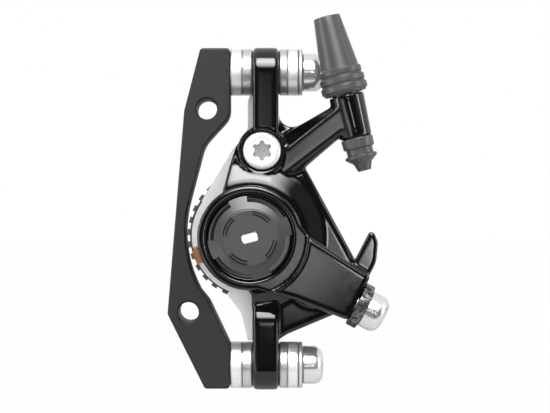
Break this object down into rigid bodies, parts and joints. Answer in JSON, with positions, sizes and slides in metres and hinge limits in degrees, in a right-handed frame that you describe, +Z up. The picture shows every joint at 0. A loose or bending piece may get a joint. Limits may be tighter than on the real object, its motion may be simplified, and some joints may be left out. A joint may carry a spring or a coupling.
{
  "type": "bicycle disc brake caliper",
  "caption": "Cable-pulled bicycle disc brake caliper on its frame bracket, with swinging arm, pad adjuster knobs, spherical washers, cable stop and rubber boots.",
  "frame": {"origin": "on the axis of the pads and the arm, halfway between the pads, in the middle of the rotor space", "axes": "+X away from the bracket, +Y inboard along the wheel axle, +Z up along the post bolts' line"},
  "size_m": [0.0548, 0.047, 0.0939],
  "materials": {
    "black_casting": "gloss black paint over cast aluminium",
    "bracket_coat": "matte dark grey coat",
    "satin_casting": "satin bare casting",
    "polished_steel": "polished",
    "washer_metal": "satin turned",
    "clamp_steel": "dark, toothed rim",
    "race_steel": "ground",
    "spring_steel": "drawn wire and strip",
    "magnet_plate": "plated",
    "cage_plastic": "moulded",
    "knob_plastic": "moulded grey",
    "boot_rubber": "soft grey moulding",
    "adjuster_alloy": "turned",
    "pad_copper": "copper plated steel",
    "pad_lining": "sintered friction block"
  },
  "bodies": {
    "bracket": {"mount_bracket": "bracket_coat", "mount_bolts": "polished_steel", "inner_cup_washers": "washer_metal", "inner_ball_washers": "washer_metal", "outer_ball_washers": "washer_metal", "outer_cup_washers": "washer_metal", "flat_washers": "washer_metal"},
    "caliper": {"outboard_housing": "black_casting", "inboard_housing": "satin_casting", "body_bolts": "polished_steel", "fixed_cam": "race_steel", "dust_seal": "boot_rubber", "return_spring": "spring_steel", "pad_spring": "spring_steel", "cable_seal": "boot_rubber", "inboard_detent": "spring_steel"},
    "arm": {"actuating_arm": "black_casting", "drive_cam": "race_steel", "clamp_washer": "clamp_steel", "clamp_bolt": "polished_steel", "knob_detent": "spring_steel"},
    "ball_race": {"ball_cage": "cage_plastic", "ramp_balls": "race_steel"},
    "outboard_dial": {"outboard_knob": "knob_plastic"},
    "outboard_spindle": {"foot_screw": "polished_steel"},
    "thrust_ring": {"thrust_washer": "race_steel"},
    "outboard_pad": {"pressure_foot": "race_steel", "outboard_magnet": "magnet_plate", "outboard_pad_plate": "pad_copper", "outboard_pad_lining": "pad_lining"},
    "inboard_dial": {"inboard_knob": "knob_plastic"},
    "inboard_spindle": {"inboard_screw": "race_steel"},
    "inboard_pad": {"inboard_foot": "race_steel", "inboard_magnet": "magnet_plate", "inboard_pad_plate": "pad_copper", "inboard_pad_lining": "pad_lining"},
    "boot": {"adjuster_boot": "boot_rubber"},
    "adjuster": {"barrel_adjuster": "adjuster_alloy"}
  },
  "joints": [
    {"name": "caliper_shift", "type": "slide", "parent": "bracket", "child": "caliper", "axis": [0, 1, 0], "range_m": [-0.00125, 0.00125]},
    {"name": "arm_pull", "type": "hinge", "parent": "caliper", "child": "arm", "pos_m": [0, 0, 0], "axis": [0, -1, 0], "range_deg": [0, 22], "stiffness_Nm_per_rad": 0.3, "springref_deg": -34.38},
    {"name": "ball_roll", "type": "hinge", "parent": "caliper", "child": "ball_race", "pos_m": [0, -0.012, 0], "axis": [0, -1, 0], "range_deg": [0, 11]},
    {"name": "thrust_push", "type": "slide", "parent": "caliper", "child": "thrust_ring", "axis": [0, 1, 0], "range_m": [0, 0.0012]},
    {"name": "outboard_dial_turn", "type": "hinge", "parent": "arm", "child": "outboard_dial", "pos_m": [0, -0.024, 0], "axis": [0, 1, 0], "range_deg": [0, 360]},
    {"name": "outboard_screw_feed", "type": "slide", "parent": "outboard_dial", "child": "outboard_spindle", "axis": [0, 1, 0], "range_m": [0, 0.0012]},
    {"name": "outboard_pad_feed", "type": "slide", "parent": "thrust_ring", "child": "outboard_pad", "axis": [0, 1, 0], "range_m": [0, 0.0012]},
    {"name": "inboard_dial_turn", "type": "hinge", "parent": "caliper", "child": "inboard_dial", "pos_m": [0, 0.015, 0], "axis": [0, -1, 0], "range_deg": [0, 360]},
    {"name": "inboard_screw_feed", "type": "slide", "parent": "inboard_dial", "child": "inboard_spindle", "axis": [0, -1, 0], "range_m": [0, 0.0018]},
    {"name": "inboard_pad_feed", "type": "slide", "parent": "caliper", "child": "inboard_pad", "axis": [0, -1, 0], "range_m": [0, 0.0018]},
    {"name": "boot_lift", "type": "slide", "parent": "caliper", "child": "boot", "axis": [-0.2409, 0, 0.9705], "range_m": [0, 0.0016]},
    {"name": "adjuster_turn", "type": "hinge", "parent": "boot", "child": "adjuster", "pos_m": [0.02236, -0.0194, 0.04107], "axis": [-0.2409, 0, 0.9705], "range_deg": [0, 720]}
  ],
  "couplings": [
    {"joint": "ball_roll", "follows": "arm_pull", "ratio": 0.5},
    {"joint": "thrust_push", "follows": "arm_pull", "m_per_rad": 0.0031252},
    {"joint": "outboard_dial_turn", "follows": "outboard_pad_feed", "rad_per_m": 5235.9},
    {"joint": "outboard_screw_feed", "follows": "outboard_pad_feed", "ratio": 1},
    {"joint": "inboard_dial_turn", "follows": "inboard_pad_feed", "rad_per_m": 3490.6},
    {"joint": "inboard_screw_feed", "follows": "inboard_pad_feed", "ratio": 1},
    {"joint": "adjuster_turn", "follows": "boot_lift", "rad_per_m": 7853.9}
  ]
}
